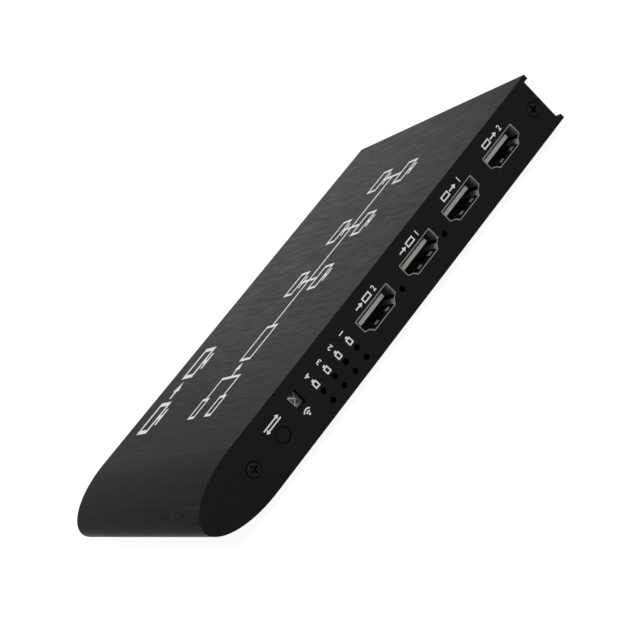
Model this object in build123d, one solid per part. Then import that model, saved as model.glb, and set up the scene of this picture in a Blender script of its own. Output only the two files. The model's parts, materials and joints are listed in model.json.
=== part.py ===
from build123d import *
import os

# A video switch and network extender in a flat aluminium case. Millimetres. X runs to the right along
# the front, Y from front to rear, Z up. The origin is under the middle of the case, on the surface
# that its rubber feet stand on.

# Case
BODY_LENGTH = 162.0
BODY_HEIGHT = 17.4
SLEEVE_DEPTH = 100.0
PLATE_THICKNESS = 2.0
WALL = 1.5
NOSE_LENGTH = 20.7
LIP_OVERHANG = 1.7
BOSS_DIAMETER = 4.7
RIB_WIDTH = 1.6
RIB_THICKNESS = 1.0

# Feet
FOOT_HEIGHT = 2.0
FOOT_DIAMETER = 9.0
FOOT_EDGE = 0.4
FOOT_FROM_NOSE = 27.0
FOOT_FROM_LIP = 12.0
FOOT_FROM_SLEEVE_END = 14.0

# Plate screws, countersunk, with a cross recess
SCREW_DIAMETER = 2.5
SCREW_LENGTH = 8.0
SCREW_HEAD_DIAMETER = 4.7
SCREW_HEAD_SUNK = 0.15
SCREW_HEAD_EDGE = 0.2
SCREW_HOLE_GAP = 0.05
SCREW_TIP = 0.5
RECESS_LENGTH = 2.6
RECESS_WIDTH = 0.65
RECESS_DEPTH = 1.2
LEFT_SCREW_FROM_NOSE = 21.05
RIGHT_SCREW_FROM_LIP = 5.6

# Clear lengths along the front, from the left screw's boss to the right one's. Where a change leaves
# more or less room between the bosses, they all grow or shrink alike.
BUTTON_FROM_BOSS = 6.9
RECEIVER_FROM_BUTTON = 4.95
LAMPS_FROM_RECEIVER = 3.05
VIDEO_FROM_LAMPS = 3.9
VIDEO_GAP = 6.4
BOSS_FROM_VIDEO = 6.7

# Clear lengths along the rear, shared out in the same way
LINKS_FROM_BOSS = 9.4
LINK_GAP = 3.6
POWER_FROM_LINKS = 14.3
BOSS_FROM_POWER = 13.55

# Circuit board, heights above the underside of the case
BOARD_THICKNESS = 1.6
BOARD_TOP_HEIGHT = 6.05
BOARD_BOSS_GAP = 0.3
BOARD_SIDE_GAP = 0.2
BOARD_END_GAP = 0.6
BOARD_RIB_GAP = 0.1
BOARD_SLOT_GAP = 0.15
FILM_THICKNESS = 0.2
FILM_INSET = 3.0
LEG_BELOW_BOARD = 0.8

# Video sockets: the cavity, its flared mouth and what is inside
SOCKET_WIDTH = 14.0
SOCKET_NECK_WIDTH = 11.1
SOCKET_FLOOR_WIDTH = 9.2
SOCKET_HEIGHT = 4.55
SOCKET_SHOULDER = 1.58
SOCKET_NECK = 1.0
SOCKET_CORNER = 0.35
SOCKET_DEPTH = 12.0
SOCKET_STANDOFF = 0.17
SHELL_THICKNESS = 0.25
FLARE_DEPTH = 0.9
FLARE_SIDE = 0.15
FLARE_EDGE = 0.45
MOUTH_GAP = 0.1
TONGUE_WIDTH = 11.1
TONGUE_THICKNESS = 1.13
TONGUE_ABOVE_FLOOR = 2.4
TONGUE_BACK = 3.0
SOCKET_BLOCK_BACK = 9.6
INSULATOR_GAP = 0.05
VIDEO_CONTACT_PITCH = 1.0
VIDEO_CONTACT_WIDTH = 0.45
VIDEO_CONTACT_THICKNESS = 0.12
VIDEO_UPPER_CONTACTS = 10
VIDEO_LOWER_CONTACTS = 9
VIDEO_CONTACT_BACK = 0.4
VIDEO_FOOT_LENGTH = 1.0
GRIP_SPACING = 5.0
GRIP_WIDTH = 1.5
GRIP_TIP_BACK = 0.55
GRIP_CREST_BACK = 1.35
GRIP_ROOT_BACK = 5.4
GRIP_ROOT = 0.3
GRIP_RISE = 0.35
GRIP_THICKNESS = 0.2
GRIP_SLOT = 0.3
SHELL_LEG_WIDTH = 1.2
SHELL_LEG_FRONT = 4.5
SHELL_LEG_REAR = 10.4

# Indicator lamps: four pairs for the links, one beside each video input
LAMP_HOLE = 1.8
LINK_LAMP_PITCH = 5.15
UPPER_LAMP_HEIGHT = 6.96
LOWER_LAMP_HEIGHT = 3.24
INPUT_LAMP_OFFSET = 9.53
LAMP_WIDTH = 1.9
LAMP_HEIGHT = 2.2
LAMP_DEPTH = 1.2
LAMP_LENS_DIAMETER = 1.3
LAMP_LENS_PROUD = 0.35
LAMP_FROM_BOARD_EDGE = 0.5

# Selector button and the push switch behind it
BUTTON_DIAMETER = 4.2
BUTTON_GAP = 0.2
BUTTON_SUNK = 0.15
BUTTON_EDGE = 0.2
BUTTON_FLANGE_DIAMETER = 6.0
BUTTON_FLANGE_THICKNESS = 0.8
BUTTON_FLANGE_GAP = 0.05
BUTTON_BOARD_GAP = 0.2
BUTTON_TRAVEL = 0.3
PLUNGER_DIAMETER = 2.4
PLUNGER_GAP = 0.1
PLUNGER_STOP_THICKNESS = 0.5
PLUNGER_NUB_DIAMETER = 1.2
SWITCH_WIDTH = 4.5
SWITCH_HEIGHT = 4.4
SWITCH_DEPTH = 3.2
SWITCH_BEHIND_FLANGE = 0.9
SWITCH_FRONT_WALL = 0.7
SWITCH_ROOM_DIAMETER = 3.4
SWITCH_ROOM_DEPTH = 1.5
DOME_DIAMETER = 3.2
DOME_THICKNESS = 0.1
DOME_GAP = 0.1
TERMINAL_WIDTH = 0.7
TERMINAL_THICKNESS = 0.2
TERMINAL_SPACING = 2.2
TERMINAL_REACH = 0.8

# Infrared window, and the shielded receiver behind it
WINDOW_LEFT_OF_RECEIVER = 0.7
WINDOW_WIDTH = 3.3
WINDOW_LOW = 9.05
WINDOW_HIGH = 13.45
RECEIVER_BACK = 2.65
RECEIVER_SHIELD_WIDTH = 4.6
RECEIVER_SHIELD_HEIGHT = 7.1
RECEIVER_SHIELD_DEPTH = 3.4
RECEIVER_SHEET = 0.25
RECEIVER_VIEW_WIDTH = 2.5
RECEIVER_VIEW_HEIGHT = 2.9
RECEIVER_VIEW_ABOVE_BOARD = 5.18
RECEIVER_BAR_WIDTH = 0.4
RECEIVER_GAP = 0.05
RECEIVER_FOOT_GAP = 0.4
RECEIVER_LENS_DIAMETER = 2.2
RECEIVER_LENS_PROUD = 0.35
LEAD_PITCH = 1.27
LEADS_BACK = 2.0
LEAD_WIDTH = 0.45

# Network jacks on the rear, let into the board. Floor and roof leave a plug cavity 6.9 high.
LINK_COUNT = 4
LINK_WIDTH = 16.0
LINK_DEPTH = 18.0
LINK_PROUD = 0.6
LINK_BOTTOM_HEIGHT = 2.2
LINK_HEADROOM = 0.7
LINK_PLATE_GAP = 0.15
LINK_SHEET = 0.25
LINK_HOUSING_GAP = 0.05
LINK_BOARD_GAP = 0.15
PLUG_WIDTH = 11.9
PLUG_DEPTH = 13.0
PLUG_FLOOR = 4.2
PLUG_ROOF = 1.9
KEY_WIDTH = 6.3
KEY_HEIGHT = 1.7
LATCH_WIDTH = 3.4
LATCH_HEIGHT = 1.3
LINK_FRAME_MARGIN = 0.4
LINK_CONTACTS = 8
LINK_CONTACT_PITCH = 1.02
LINK_CONTACT_WIDTH = 0.45
LINK_CONTACT_THICKNESS = 0.3
LINK_CONTACT_BEND_BACK = 1.8
LINK_CONTACT_TIP_BACK = 9.6
LINK_CONTACT_DROP = 2.5
LINK_CONTACT_ROOF = 0.95
LINK_CONTACT_TAIL_INSET = 1.6
LINK_CONTACT_FOOT = 1.2
LINK_EAR_LENGTH = 2.0
LINK_LEG_WIDTH = 1.0
LINK_EAR_REACH = 1.2
LINK_EAR_BACK = 9.0

# Power inlet
POWER_WIDTH = 9.0
POWER_HEADROOM = 1.6
POWER_BLOCK_DEPTH = 11.2
POWER_COLLAR_DIAMETER = 8.2
POWER_COLLAR_GAP = 0.1
POWER_BORE = 6.3
POWER_BORE_DEPTH = 9.5
POWER_PIN_DIAMETER = 2.0
POWER_PIN_ROOT_DIAMETER = 1.6
POWER_PIN_SUNK = 0.8
POWER_BLADE_WIDTH = 2.0
POWER_BLADE_THICKNESS = 0.4
POWER_SPRING_WIDTH = 2.0
POWER_SPRING_THICKNESS = 0.25
POWER_SPRING_REACH = 0.4
POWER_SPRING_ROOM = 0.15
POWER_SPRING_TIP = 1.0
POWER_PIN_ROUND = 0.4

# Parts on the board: width, depth and height, and where their middles are. The matrix chip is behind
# the middle of the video sockets, and the others keep their distance from what they serve.
MATRIX_CHIP_SIZE = (14.0, 14.0, 1.2)
MATRIX_CHIP_Y = -14.0
PAD_THICKNESS = 0.5
HEATSINK_WIDTH = 24.0
HEATSINK_BASE = 1.5
HEATSINK_HEIGHT = 6.5
HEATSINK_FINS = 7
HEATSINK_FIN_THICKNESS = 1.0
SENDER_CHIP_SIZE = (9.0, 9.0, 0.9)
SENDER_CHIP_Y = 8.0
TRANSFORMER_SIZE = (12.7, 8.6, 5.5)
TRANSFORMER_Y = 24.0
CONTROL_CHIP_SIZE = (7.0, 7.0, 1.2)
CONTROL_CHIP_FROM_RECEIVER = 7.0
CONTROL_CHIP_Y = -26.0
CRYSTAL_SIZE = (11.0, 4.6, 3.4)
CRYSTAL_FROM_RECEIVER = -7.0
CRYSTAL_Y = -27.0
INDUCTOR_SIZE = (7.0, 7.0, 3.5)
INDUCTOR_EDGE = 1.2
INDUCTOR_GAP = 3.2
CAPACITOR_DIAMETER = 6.3
CAPACITOR_HEIGHT = 5.4
CAPACITOR_BASE = 6.6
CAPACITOR_BASE_HEIGHT = 1.0
CAPACITOR_BOSS_GAP = 3.75
CAPACITOR_FROM_LINK = -11.0
CAPACITOR_FROM_CHIP = -20.0
CHIP_CAPACITOR_Y = -30.0
POWER_PART_YS = (20.0, 8.0, -4.0)

# Levels and stations worked out from the sizes above
NOSE_END = -BODY_LENGTH / 2
LIP_END = BODY_LENGTH / 2
NOSE_CENTER = NOSE_END + NOSE_LENGTH
WALL_OUTSIDE = LIP_END - LIP_OVERHANG
WALL_INSIDE = WALL_OUTSIDE - WALL
BOTTOM = FOOT_HEIGHT
TOP = BOTTOM + BODY_HEIGHT
MIDDLE = BOTTOM + BODY_HEIGHT / 2
FLOOR = BOTTOM + WALL
CEILING = TOP - WALL
SLEEVE_FRONT = -SLEEVE_DEPTH / 2
SLEEVE_REAR = SLEEVE_DEPTH / 2
FRONT_FACE = SLEEVE_FRONT - PLATE_THICKNESS
REAR_FACE = SLEEVE_REAR + PLATE_THICKNESS
LEFT_SCREW_X = NOSE_END + LEFT_SCREW_FROM_NOSE
RIGHT_SCREW_X = LIP_END - RIGHT_SCREW_FROM_LIP
WEB_LEFT = LEFT_SCREW_X - WALL / 2
WEB_RIGHT = LEFT_SCREW_X + WALL / 2
BOARD_TOP = BOTTOM + BOARD_TOP_HEIGHT
BOARD_BOTTOM = BOARD_TOP - BOARD_THICKNESS
BOARD_FRONT = SLEEVE_FRONT + BOARD_END_GAP
BOARD_REAR = SLEEVE_REAR - BOARD_END_GAP
BOARD_LEFT = WEB_RIGHT + BOARD_SIDE_GAP
BOARD_RIGHT = WALL_INSIDE - BOARD_SIDE_GAP
LEG_END = BOARD_BOTTOM - LEG_BELOW_BOARD
SCREW_Z = BOARD_TOP + BOARD_BOSS_GAP + BOSS_DIAMETER / 2


def row_middles(widths, gaps):
    """The middles in X of what stands in a row between the two screw bosses, which it fills."""
    left = LEFT_SCREW_X + BOSS_DIAMETER / 2
    right = RIGHT_SCREW_X - BOSS_DIAMETER / 2
    share = (right - left - sum(widths)) / sum(gaps)
    middles = []
    for width, gap in zip(widths, gaps):
        left += gap * share
        middles.append(left + width / 2)
        left += width
    return middles


VIDEO_NAMES = ("video_in_2", "video_in_1", "video_out_1", "video_out_2")
VIDEO_COUNT = len(VIDEO_NAMES)
LINK_STEPS = tuple(step - (LINK_COUNT - 1) / 2 for step in range(LINK_COUNT))
LAMPS_WIDTH = LINK_LAMP_PITCH * (LINK_COUNT - 1) + LAMP_WIDTH
SOCKET_OUTSIDE = SOCKET_WIDTH + 2 * SHELL_THICKNESS
LINK_OUTSIDE = LINK_WIDTH + 2 * LINK_EAR_REACH
FRONT_WIDTHS = [BUTTON_FLANGE_DIAMETER, RECEIVER_SHIELD_WIDTH, LAMPS_WIDTH] + VIDEO_COUNT * [SOCKET_OUTSIDE]
FRONT_GAPS = [BUTTON_FROM_BOSS, RECEIVER_FROM_BUTTON, LAMPS_FROM_RECEIVER, VIDEO_FROM_LAMPS]
FRONT_GAPS += (VIDEO_COUNT - 1) * [VIDEO_GAP] + [BOSS_FROM_VIDEO]
REAR_WIDTHS = LINK_COUNT * [LINK_OUTSIDE] + [POWER_WIDTH]
REAR_GAPS = [LINKS_FROM_BOSS] + (LINK_COUNT - 1) * [LINK_GAP] + [POWER_FROM_LINKS, BOSS_FROM_POWER]
BUTTON_X, RECEIVER_X, LINK_LAMPS_X, *VIDEO_XS = row_middles(FRONT_WIDTHS, FRONT_GAPS)
*LINK_XS, POWER_X = row_middles(REAR_WIDTHS, REAR_GAPS)

SOCKET_FLOOR = BOARD_TOP + SOCKET_STANDOFF + SHELL_THICKNESS
SOCKET_AXIS = SOCKET_FLOOR + SOCKET_HEIGHT / 2
TONGUE_BOTTOM = SOCKET_FLOOR + TONGUE_ABOVE_FLOOR
TONGUE_TOP = TONGUE_BOTTOM + TONGUE_THICKNESS

LINK_LAMP_XS = tuple(LINK_LAMPS_X + LINK_LAMP_PITCH * step for step in LINK_STEPS)
INPUT_LAMP_XS = tuple(x + INPUT_LAMP_OFFSET for x in VIDEO_XS[:2])
UPPER_LAMP_Z = BOTTOM + UPPER_LAMP_HEIGHT
LOWER_LAMP_Z = BOTTOM + LOWER_LAMP_HEIGHT

BUTTON_Z = BOARD_TOP + SWITCH_HEIGHT / 2
FLANGE_FRONT = SLEEVE_FRONT + BUTTON_FLANGE_GAP
FLANGE_REAR = FLANGE_FRONT + BUTTON_FLANGE_THICKNESS
SWITCH_FRONT = FLANGE_REAR + SWITCH_BEHIND_FLANGE
SWITCH_ROOM_FRONT = SWITCH_FRONT + SWITCH_FRONT_WALL
SWITCH_ROOM_REAR = SWITCH_ROOM_FRONT + SWITCH_ROOM_DEPTH
SWITCH_REAR = SWITCH_FRONT + SWITCH_DEPTH

WINDOW_X = RECEIVER_X - WINDOW_LEFT_OF_RECEIVER
RECEIVER_FRONT = FRONT_FACE + RECEIVER_BACK
RECEIVER_TOP = BOARD_TOP + RECEIVER_SHIELD_HEIGHT
RECEIVER_VIEW_Z = BOARD_TOP + RECEIVER_VIEW_ABOVE_BOARD

LINK_MOUTH = REAR_FACE + LINK_PROUD
LINK_BACK = LINK_MOUTH - LINK_DEPTH
LINK_BOTTOM = BOTTOM + LINK_BOTTOM_HEIGHT
LINK_TOP = CEILING - LINK_HEADROOM
CAVITY_BOTTOM = LINK_BOTTOM + PLUG_FLOOR
CAVITY_TOP = LINK_TOP - PLUG_ROOF

POWER_TOP = CEILING - POWER_HEADROOM
POWER_AXIS = (BOARD_TOP + POWER_TOP) / 2
POWER_FRONT = SLEEVE_REAR - BOARD_END_GAP
POWER_BACK = POWER_FRONT - POWER_BLOCK_DEPTH
POWER_BORE_END = REAR_FACE - POWER_BORE_DEPTH

MATRIX_CHIP_PLACE = ((VIDEO_XS[0] + VIDEO_XS[-1]) / 2, MATRIX_CHIP_Y)
CONTROL_CHIP_PLACE = (RECEIVER_X + CONTROL_CHIP_FROM_RECEIVER, CONTROL_CHIP_Y)
CRYSTAL_PLACE = (RECEIVER_X + CRYSTAL_FROM_RECEIVER, CRYSTAL_Y)
CAPACITORS_LEFT = RIGHT_SCREW_X - BOSS_DIAMETER / 2 - CAPACITOR_BOSS_GAP - CAPACITOR_BASE
INDUCTORS_X = CAPACITORS_LEFT - INDUCTOR_GAP - INDUCTOR_SIZE[0] / 2
INDUCTOR_PLACES = [(INDUCTORS_X, y) for y in POWER_PART_YS]
CAPACITOR_PLACES = [(CAPACITORS_LEFT + CAPACITOR_BASE / 2, y) for y in POWER_PART_YS]
CAPACITOR_PLACES.append((LINK_XS[0] + CAPACITOR_FROM_LINK, SENDER_CHIP_Y))
CAPACITOR_PLACES.append((MATRIX_CHIP_PLACE[0] + CAPACITOR_FROM_CHIP, CHIP_CAPACITOR_Y))


def rectangle(x_low, x_high, z_low, z_high):
    """A rectangle in an outline drawn as seen from the front."""
    middle = Pos((x_low + x_high) / 2, (z_low + z_high) / 2)
    return middle * Rectangle(x_high - x_low, z_high - z_low)


def box(x_low, x_high, y_low, y_high, z_low, z_high):
    """A box between its lowest and highest corners."""
    middle = Pos((x_low + x_high) / 2, (y_low + y_high) / 2, (z_low + z_high) / 2)
    return middle * Box(x_high - x_low, y_high - y_low, z_high - z_low)


def depth_plane(y):
    """The plane at one depth that is drawn on as seen from the front: X to the right, Z up."""
    return Plane(origin=(0, y, 0), x_dir=(1, 0, 0), z_dir=(0, -1, 0))


def along_depth(outline, y_low, y_high):
    """Extrude an outline drawn as seen from the front between two depths."""
    return extrude(depth_plane(y_high) * outline, amount=y_high - y_low)


def rod(x, z, diameter, y_low, y_high):
    """A round bar along Y."""
    return along_depth(Pos(x, z) * Circle(diameter / 2), y_low, y_high)


def ribbon(points, thickness, x, width):
    """A strip of sheet metal bent along points in depth and height, as wide as given along X."""
    side_plane = Plane(origin=(x - width / 2, 0, 0), x_dir=(0, 1, 0), z_dir=(1, 0, 0))
    return extrude(side_plane * trace(Polyline(*points), thickness), amount=width)


def on_board(size, place, lift=0.0):
    """A block of width, depth and height that stands on the board at a place, or is lifted off it."""
    width, depth, height = size
    x, y = place
    z_low = BOARD_TOP + lift
    return box(x - width / 2, x + width / 2, y - depth / 2, y + depth / 2, z_low, z_low + height)


def case_outline():
    """The case as seen from the front: half an ellipse on the left, two lips past the right wall."""
    nose = Pos(NOSE_CENTER, MIDDLE) * Ellipse(NOSE_LENGTH, BODY_HEIGHT / 2)
    block = rectangle(NOSE_CENTER, LIP_END, BOTTOM, TOP)
    notch = rectangle(WALL_OUTSIDE, LIP_END, FLOOR, CEILING)
    return nose + block - notch


def screw_places():
    """The middles of the plate screws as seen from the front."""
    return [Pos(LEFT_SCREW_X, SCREW_Z), Pos(RIGHT_SCREW_X, SCREW_Z)]


def housing_sleeve():
    """The extruded sleeve, with a web and bosses for the screws and ribs for the board."""
    nose_room = Pos(NOSE_CENTER, MIDDLE) * Ellipse(NOSE_LENGTH - WALL, BODY_HEIGHT / 2 - WALL)
    room = nose_room + rectangle(NOSE_CENTER, WALL_INSIDE, FLOOR, CEILING)
    web = rectangle(WEB_LEFT, WEB_RIGHT, FLOOR - WALL / 2, CEILING + WALL / 2)
    bridge = rectangle(RIGHT_SCREW_X, WALL_INSIDE + WALL / 2, SCREW_Z - WALL / 2, SCREW_Z + WALL / 2)
    profile = case_outline() - room + web + bridge
    rib_heights = (BOARD_BOTTOM - BOARD_RIB_GAP - RIB_THICKNESS, BOARD_TOP + BOARD_RIB_GAP)
    for z in rib_heights:
        profile += rectangle(WEB_RIGHT - WALL / 2, WEB_RIGHT + RIB_WIDTH, z, z + RIB_THICKNESS)
        profile += rectangle(WALL_INSIDE - RIB_WIDTH, WALL_INSIDE + WALL / 2, z, z + RIB_THICKNESS)
    for place in screw_places():
        profile += place * Circle(BOSS_DIAMETER / 2)
    for place in screw_places():
        profile -= place * Circle(SCREW_DIAMETER / 2 + SCREW_HOLE_GAP)
    return along_depth(profile, SLEEVE_FRONT, SLEEVE_REAR)


def screw_head(gap):
    """A countersunk head, grown by a gap, whose seat opens towards the front face of the case."""
    narrow = SCREW_DIAMETER / 2 + gap
    wide = SCREW_HEAD_DIAMETER / 2 + gap
    height = wide - narrow
    cone = Cone(narrow, wide, height, align=(Align.CENTER, Align.CENTER, Align.MIN))
    return Plane(origin=(0, height, 0), x_dir=(1, 0, 0), z_dir=(0, -1, 0)) * cone


def front_screw(x):
    """One screw in the front plate."""
    head_face = FRONT_FACE + SCREW_HEAD_SUNK
    shank = rod(x, SCREW_Z, SCREW_DIAMETER, head_face, head_face + SCREW_LENGTH)
    shank = chamfer(shank.edges().group_by(Axis.Y)[-1], SCREW_TIP)
    head = Pos(x, head_face, SCREW_Z) * screw_head(0)
    head = fillet(head.edges().group_by(Axis.Y)[0], SCREW_HEAD_EDGE)
    recess = Rectangle(RECESS_LENGTH, RECESS_WIDTH) + Rectangle(RECESS_WIDTH, RECESS_LENGTH)
    recess = along_depth(Pos(x, SCREW_Z) * recess, head_face, head_face + RECESS_DEPTH)
    return head + shank - recess


def screw_holes():
    """What the two screws take out of the front plate."""
    holes = []
    for x in (LEFT_SCREW_X, RIGHT_SCREW_X):
        sunk = SCREW_HEAD_DIAMETER + 2 * SCREW_HOLE_GAP
        holes.append(rod(x, SCREW_Z, sunk, FRONT_FACE, FRONT_FACE + SCREW_HEAD_SUNK))
        holes.append(Pos(x, FRONT_FACE + SCREW_HEAD_SUNK, SCREW_Z) * screw_head(SCREW_HOLE_GAP))
        holes.append(rod(x, SCREW_Z, SCREW_DIAMETER + 2 * SCREW_HOLE_GAP, FRONT_FACE, SLEEVE_FRONT))
    return holes


def front_plate():
    """The front plate, with its openings for sockets, lamps, receiver window and button."""
    outline = case_outline()
    rim = SHELL_THICKNESS + MOUTH_GAP
    mouth = socket_outline(FLARE_SIDE + rim, FLARE_EDGE + rim)
    for x in VIDEO_XS:
        outline -= Pos(x, SOCKET_AXIS) * mouth
    for x in LINK_LAMP_XS:
        outline -= Pos(x, UPPER_LAMP_Z) * Circle(LAMP_HOLE / 2)
        outline -= Pos(x, LOWER_LAMP_Z) * Circle(LAMP_HOLE / 2)
    for x in INPUT_LAMP_XS:
        outline -= Pos(x, UPPER_LAMP_Z) * Circle(LAMP_HOLE / 2)
    window_left = WINDOW_X - WINDOW_WIDTH / 2
    outline -= rectangle(window_left, window_left + WINDOW_WIDTH, BOTTOM + WINDOW_LOW, BOTTOM + WINDOW_HIGH)
    outline -= Pos(BUTTON_X, BUTTON_Z) * Circle(BUTTON_DIAMETER / 2 + BUTTON_GAP)
    return along_depth(outline, FRONT_FACE, SLEEVE_FRONT) - screw_holes()


def rear_plate():
    """The rear plate, with its openings for the network jacks and the power inlet."""
    outline = case_outline()
    gap = LINK_PLATE_GAP
    half = LINK_WIDTH / 2 + gap
    for x in LINK_XS:
        outline -= rectangle(x - half, x + half, LINK_BOTTOM - gap, LINK_TOP + gap)
    outline -= Pos(POWER_X, POWER_AXIS) * Circle(POWER_COLLAR_DIAMETER / 2 + POWER_COLLAR_GAP)
    holes = [hole.mirror(Plane.XZ) for hole in screw_holes()]
    return along_depth(outline, SLEEVE_REAR, REAR_FACE) - holes


def rubber_foot(x, y):
    """One stick-on foot with a softened lower edge."""
    foot = Pos(x, y, FOOT_HEIGHT / 2) * Cylinder(FOOT_DIAMETER / 2, FOOT_HEIGHT)
    return fillet(foot.edges().group_by(Axis.Z)[0], FOOT_EDGE)


def rubber_feet():
    """Four feet under the flat of the case."""
    xs = (NOSE_END + FOOT_FROM_NOSE, LIP_END - FOOT_FROM_LIP)
    y = SLEEVE_REAR - FOOT_FROM_SLEEVE_END
    return [rubber_foot(x, side * y) for x in xs for side in (-1, 1)]


def socket_outline(side_gap, edge_gap):
    """A video socket's cavity as seen from the front, grown sideways and in height about its middle."""
    half_height = SOCKET_HEIGHT / 2
    wide = 1 + side_gap / (SOCKET_WIDTH / 2)
    tall = 1 + edge_gap / half_height
    right = [
        (SOCKET_WIDTH / 2, half_height),
        (SOCKET_WIDTH / 2, SOCKET_SHOULDER - half_height),
        (SOCKET_NECK_WIDTH / 2, SOCKET_NECK - half_height),
        (SOCKET_FLOOR_WIDTH / 2, -half_height),
    ]
    left = [(-x, z) for x, z in reversed(right)]
    corners = [(x * wide, z * tall) for x, z in right + left]
    outline = make_face(Polyline(*corners, close=True))
    return fillet(outline.vertices(), SOCKET_CORNER)


def socket_tube(x, grow):
    """A socket's flared tube, solid, whose cavity is grown by the wall."""
    place = Pos(x, SOCKET_AXIS)
    mouth = place * socket_outline(FLARE_SIDE + grow, FLARE_EDGE + grow)
    body = place * socket_outline(grow, grow)
    flare_end = FRONT_FACE + FLARE_DEPTH
    flare = loft([depth_plane(FRONT_FACE) * mouth, depth_plane(flare_end) * body], ruled=True)
    return flare + along_depth(body, flare_end, FRONT_FACE + SOCKET_DEPTH)


def grip(x):
    """A spring finger in the floor of a socket, pressed up into its cavity."""
    wall = SOCKET_FLOOR - SHELL_THICKNESS / 2
    crest = SOCKET_FLOOR + GRIP_RISE - GRIP_THICKNESS / 2
    points = [
        (FRONT_FACE + GRIP_TIP_BACK, wall),
        (FRONT_FACE + GRIP_CREST_BACK, crest),
        (FRONT_FACE + GRIP_ROOT_BACK + GRIP_ROOT, wall),
    ]
    return ribbon(points, GRIP_THICKNESS, x, GRIP_WIDTH)


def grip_slot(x):
    """The slot that frees the front and sides of a spring finger."""
    half = GRIP_WIDTH / 2 + GRIP_SLOT
    y_low, y_high = FRONT_FACE + GRIP_TIP_BACK - GRIP_SLOT, FRONT_FACE + GRIP_ROOT_BACK
    z_low = SOCKET_FLOOR - FLARE_EDGE - 2 * SHELL_THICKNESS
    return box(x - half, x + half, y_low, y_high, z_low, SOCKET_FLOOR)


def shell_legs(x):
    """The four legs of a socket's shell, each as its low and high X and low and high Y."""
    legs = []
    for side in (-1, 1):
        inner = x + side * SOCKET_WIDTH / 2
        x_low, x_high = sorted((inner, inner + side * SHELL_THICKNESS))
        for back in (SHELL_LEG_FRONT, SHELL_LEG_REAR):
            y_low = FRONT_FACE + back - SHELL_LEG_WIDTH / 2
            legs.append((x_low, x_high, y_low, y_low + SHELL_LEG_WIDTH))
    return legs


def video_shell(x):
    """The stamped shell of a video socket."""
    shell = socket_tube(x, SHELL_THICKNESS)
    for low_x, high_x, low_y, high_y in shell_legs(x):
        shell += box(low_x, high_x, low_y, high_y, LEG_END, SOCKET_AXIS)
    shell -= socket_tube(x, 0)
    for side in (-1, 1):
        finger_x = x + side * GRIP_SPACING / 2
        shell = shell - grip_slot(finger_x) + grip(finger_x)
    return shell


def video_contacts(x):
    """The contact strips of a video socket: more on top of the tongue than below it."""
    strips = []
    strip_front = FRONT_FACE + TONGUE_BACK + VIDEO_CONTACT_BACK
    half = VIDEO_CONTACT_THICKNESS / 2
    tail = FRONT_FACE + SOCKET_DEPTH + VIDEO_CONTACT_WIDTH
    upper = (VIDEO_UPPER_CONTACTS, TONGUE_TOP + half)
    lower = (VIDEO_LOWER_CONTACTS, TONGUE_BOTTOM - half)
    for count, z in (upper, lower):
        path = [
            (strip_front, z),
            (tail, z),
            (tail, BOARD_TOP + half),
            (tail + VIDEO_FOOT_LENGTH, BOARD_TOP + half),
        ]
        for step in range(count):
            strip_x = x + VIDEO_CONTACT_PITCH * (step - (count - 1) / 2)
            strips.append(ribbon(path, VIDEO_CONTACT_THICKNESS, strip_x, VIDEO_CONTACT_WIDTH))
    return strips


def video_insulator(x):
    """The moulded tongue and the block that closes the back of a video socket."""
    tongue_front = FRONT_FACE + TONGUE_BACK
    block_front = FRONT_FACE + SOCKET_BLOCK_BACK
    half = TONGUE_WIDTH / 2
    tongue = box(x - half, x + half, tongue_front, block_front, TONGUE_BOTTOM, TONGUE_TOP)
    block = Pos(x, SOCKET_AXIS) * socket_outline(-INSULATOR_GAP, -INSULATOR_GAP)
    block = along_depth(block, block_front, FRONT_FACE + SOCKET_DEPTH)
    return tongue + block - video_contacts(x)


def lamp(x, up):
    """A side-looking lamp on top of the board (up = 1) or under it (up = -1)."""
    seat = BOARD_TOP if up > 0 else BOARD_BOTTOM
    z_low, z_high = sorted((seat, seat + up * LAMP_HEIGHT))
    front = BOARD_FRONT + LAMP_FROM_BOARD_EDGE
    body = box(x - LAMP_WIDTH / 2, x + LAMP_WIDTH / 2, front, front + LAMP_DEPTH, z_low, z_high)
    return body + rod(x, seat + up * LAMP_HEIGHT / 2, LAMP_LENS_DIAMETER, front - LAMP_LENS_PROUD, front)


def link_lamps():
    """Two lamps for each network link, above and below the board."""
    return [lamp(x, up) for x in LINK_LAMP_XS for up in (1, -1)]


def input_lamps():
    """One lamp beside each video input."""
    return [lamp(x, 1) for x in INPUT_LAMP_XS]


def switch_cap():
    """The round button, a little below the plate's face, whose cut-off flange keeps it in the plate."""
    front = FRONT_FACE + BUTTON_SUNK
    stem = rod(BUTTON_X, BUTTON_Z, BUTTON_DIAMETER, front, FLANGE_FRONT)
    stem = fillet(stem.edges().group_by(Axis.Y)[0], BUTTON_EDGE)
    flange = rod(BUTTON_X, BUTTON_Z, BUTTON_FLANGE_DIAMETER, FLANGE_FRONT, FLANGE_REAR)
    half = BUTTON_FLANGE_DIAMETER
    low = BOARD_TOP + BUTTON_BOARD_GAP
    flange -= box(BUTTON_X - half, BUTTON_X + half, FLANGE_FRONT, FLANGE_REAR, low - half, low)
    return stem + flange


def switch_plunger():
    """The push switch's plunger, which stops its travel and a gap short of the snap dome."""
    stop_rear = SWITCH_ROOM_FRONT + PLUNGER_STOP_THICKNESS
    nub_rear = SWITCH_ROOM_REAR - DOME_THICKNESS - DOME_GAP - BUTTON_TRAVEL
    shaft = rod(BUTTON_X, BUTTON_Z, PLUNGER_DIAMETER, FLANGE_REAR, SWITCH_ROOM_FRONT)
    stop = rod(BUTTON_X, BUTTON_Z, SWITCH_ROOM_DIAMETER - 2 * PLUNGER_GAP, SWITCH_ROOM_FRONT, stop_rear)
    nub = rod(BUTTON_X, BUTTON_Z, PLUNGER_NUB_DIAMETER, stop_rear, nub_rear)
    return shaft + stop + nub


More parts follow.
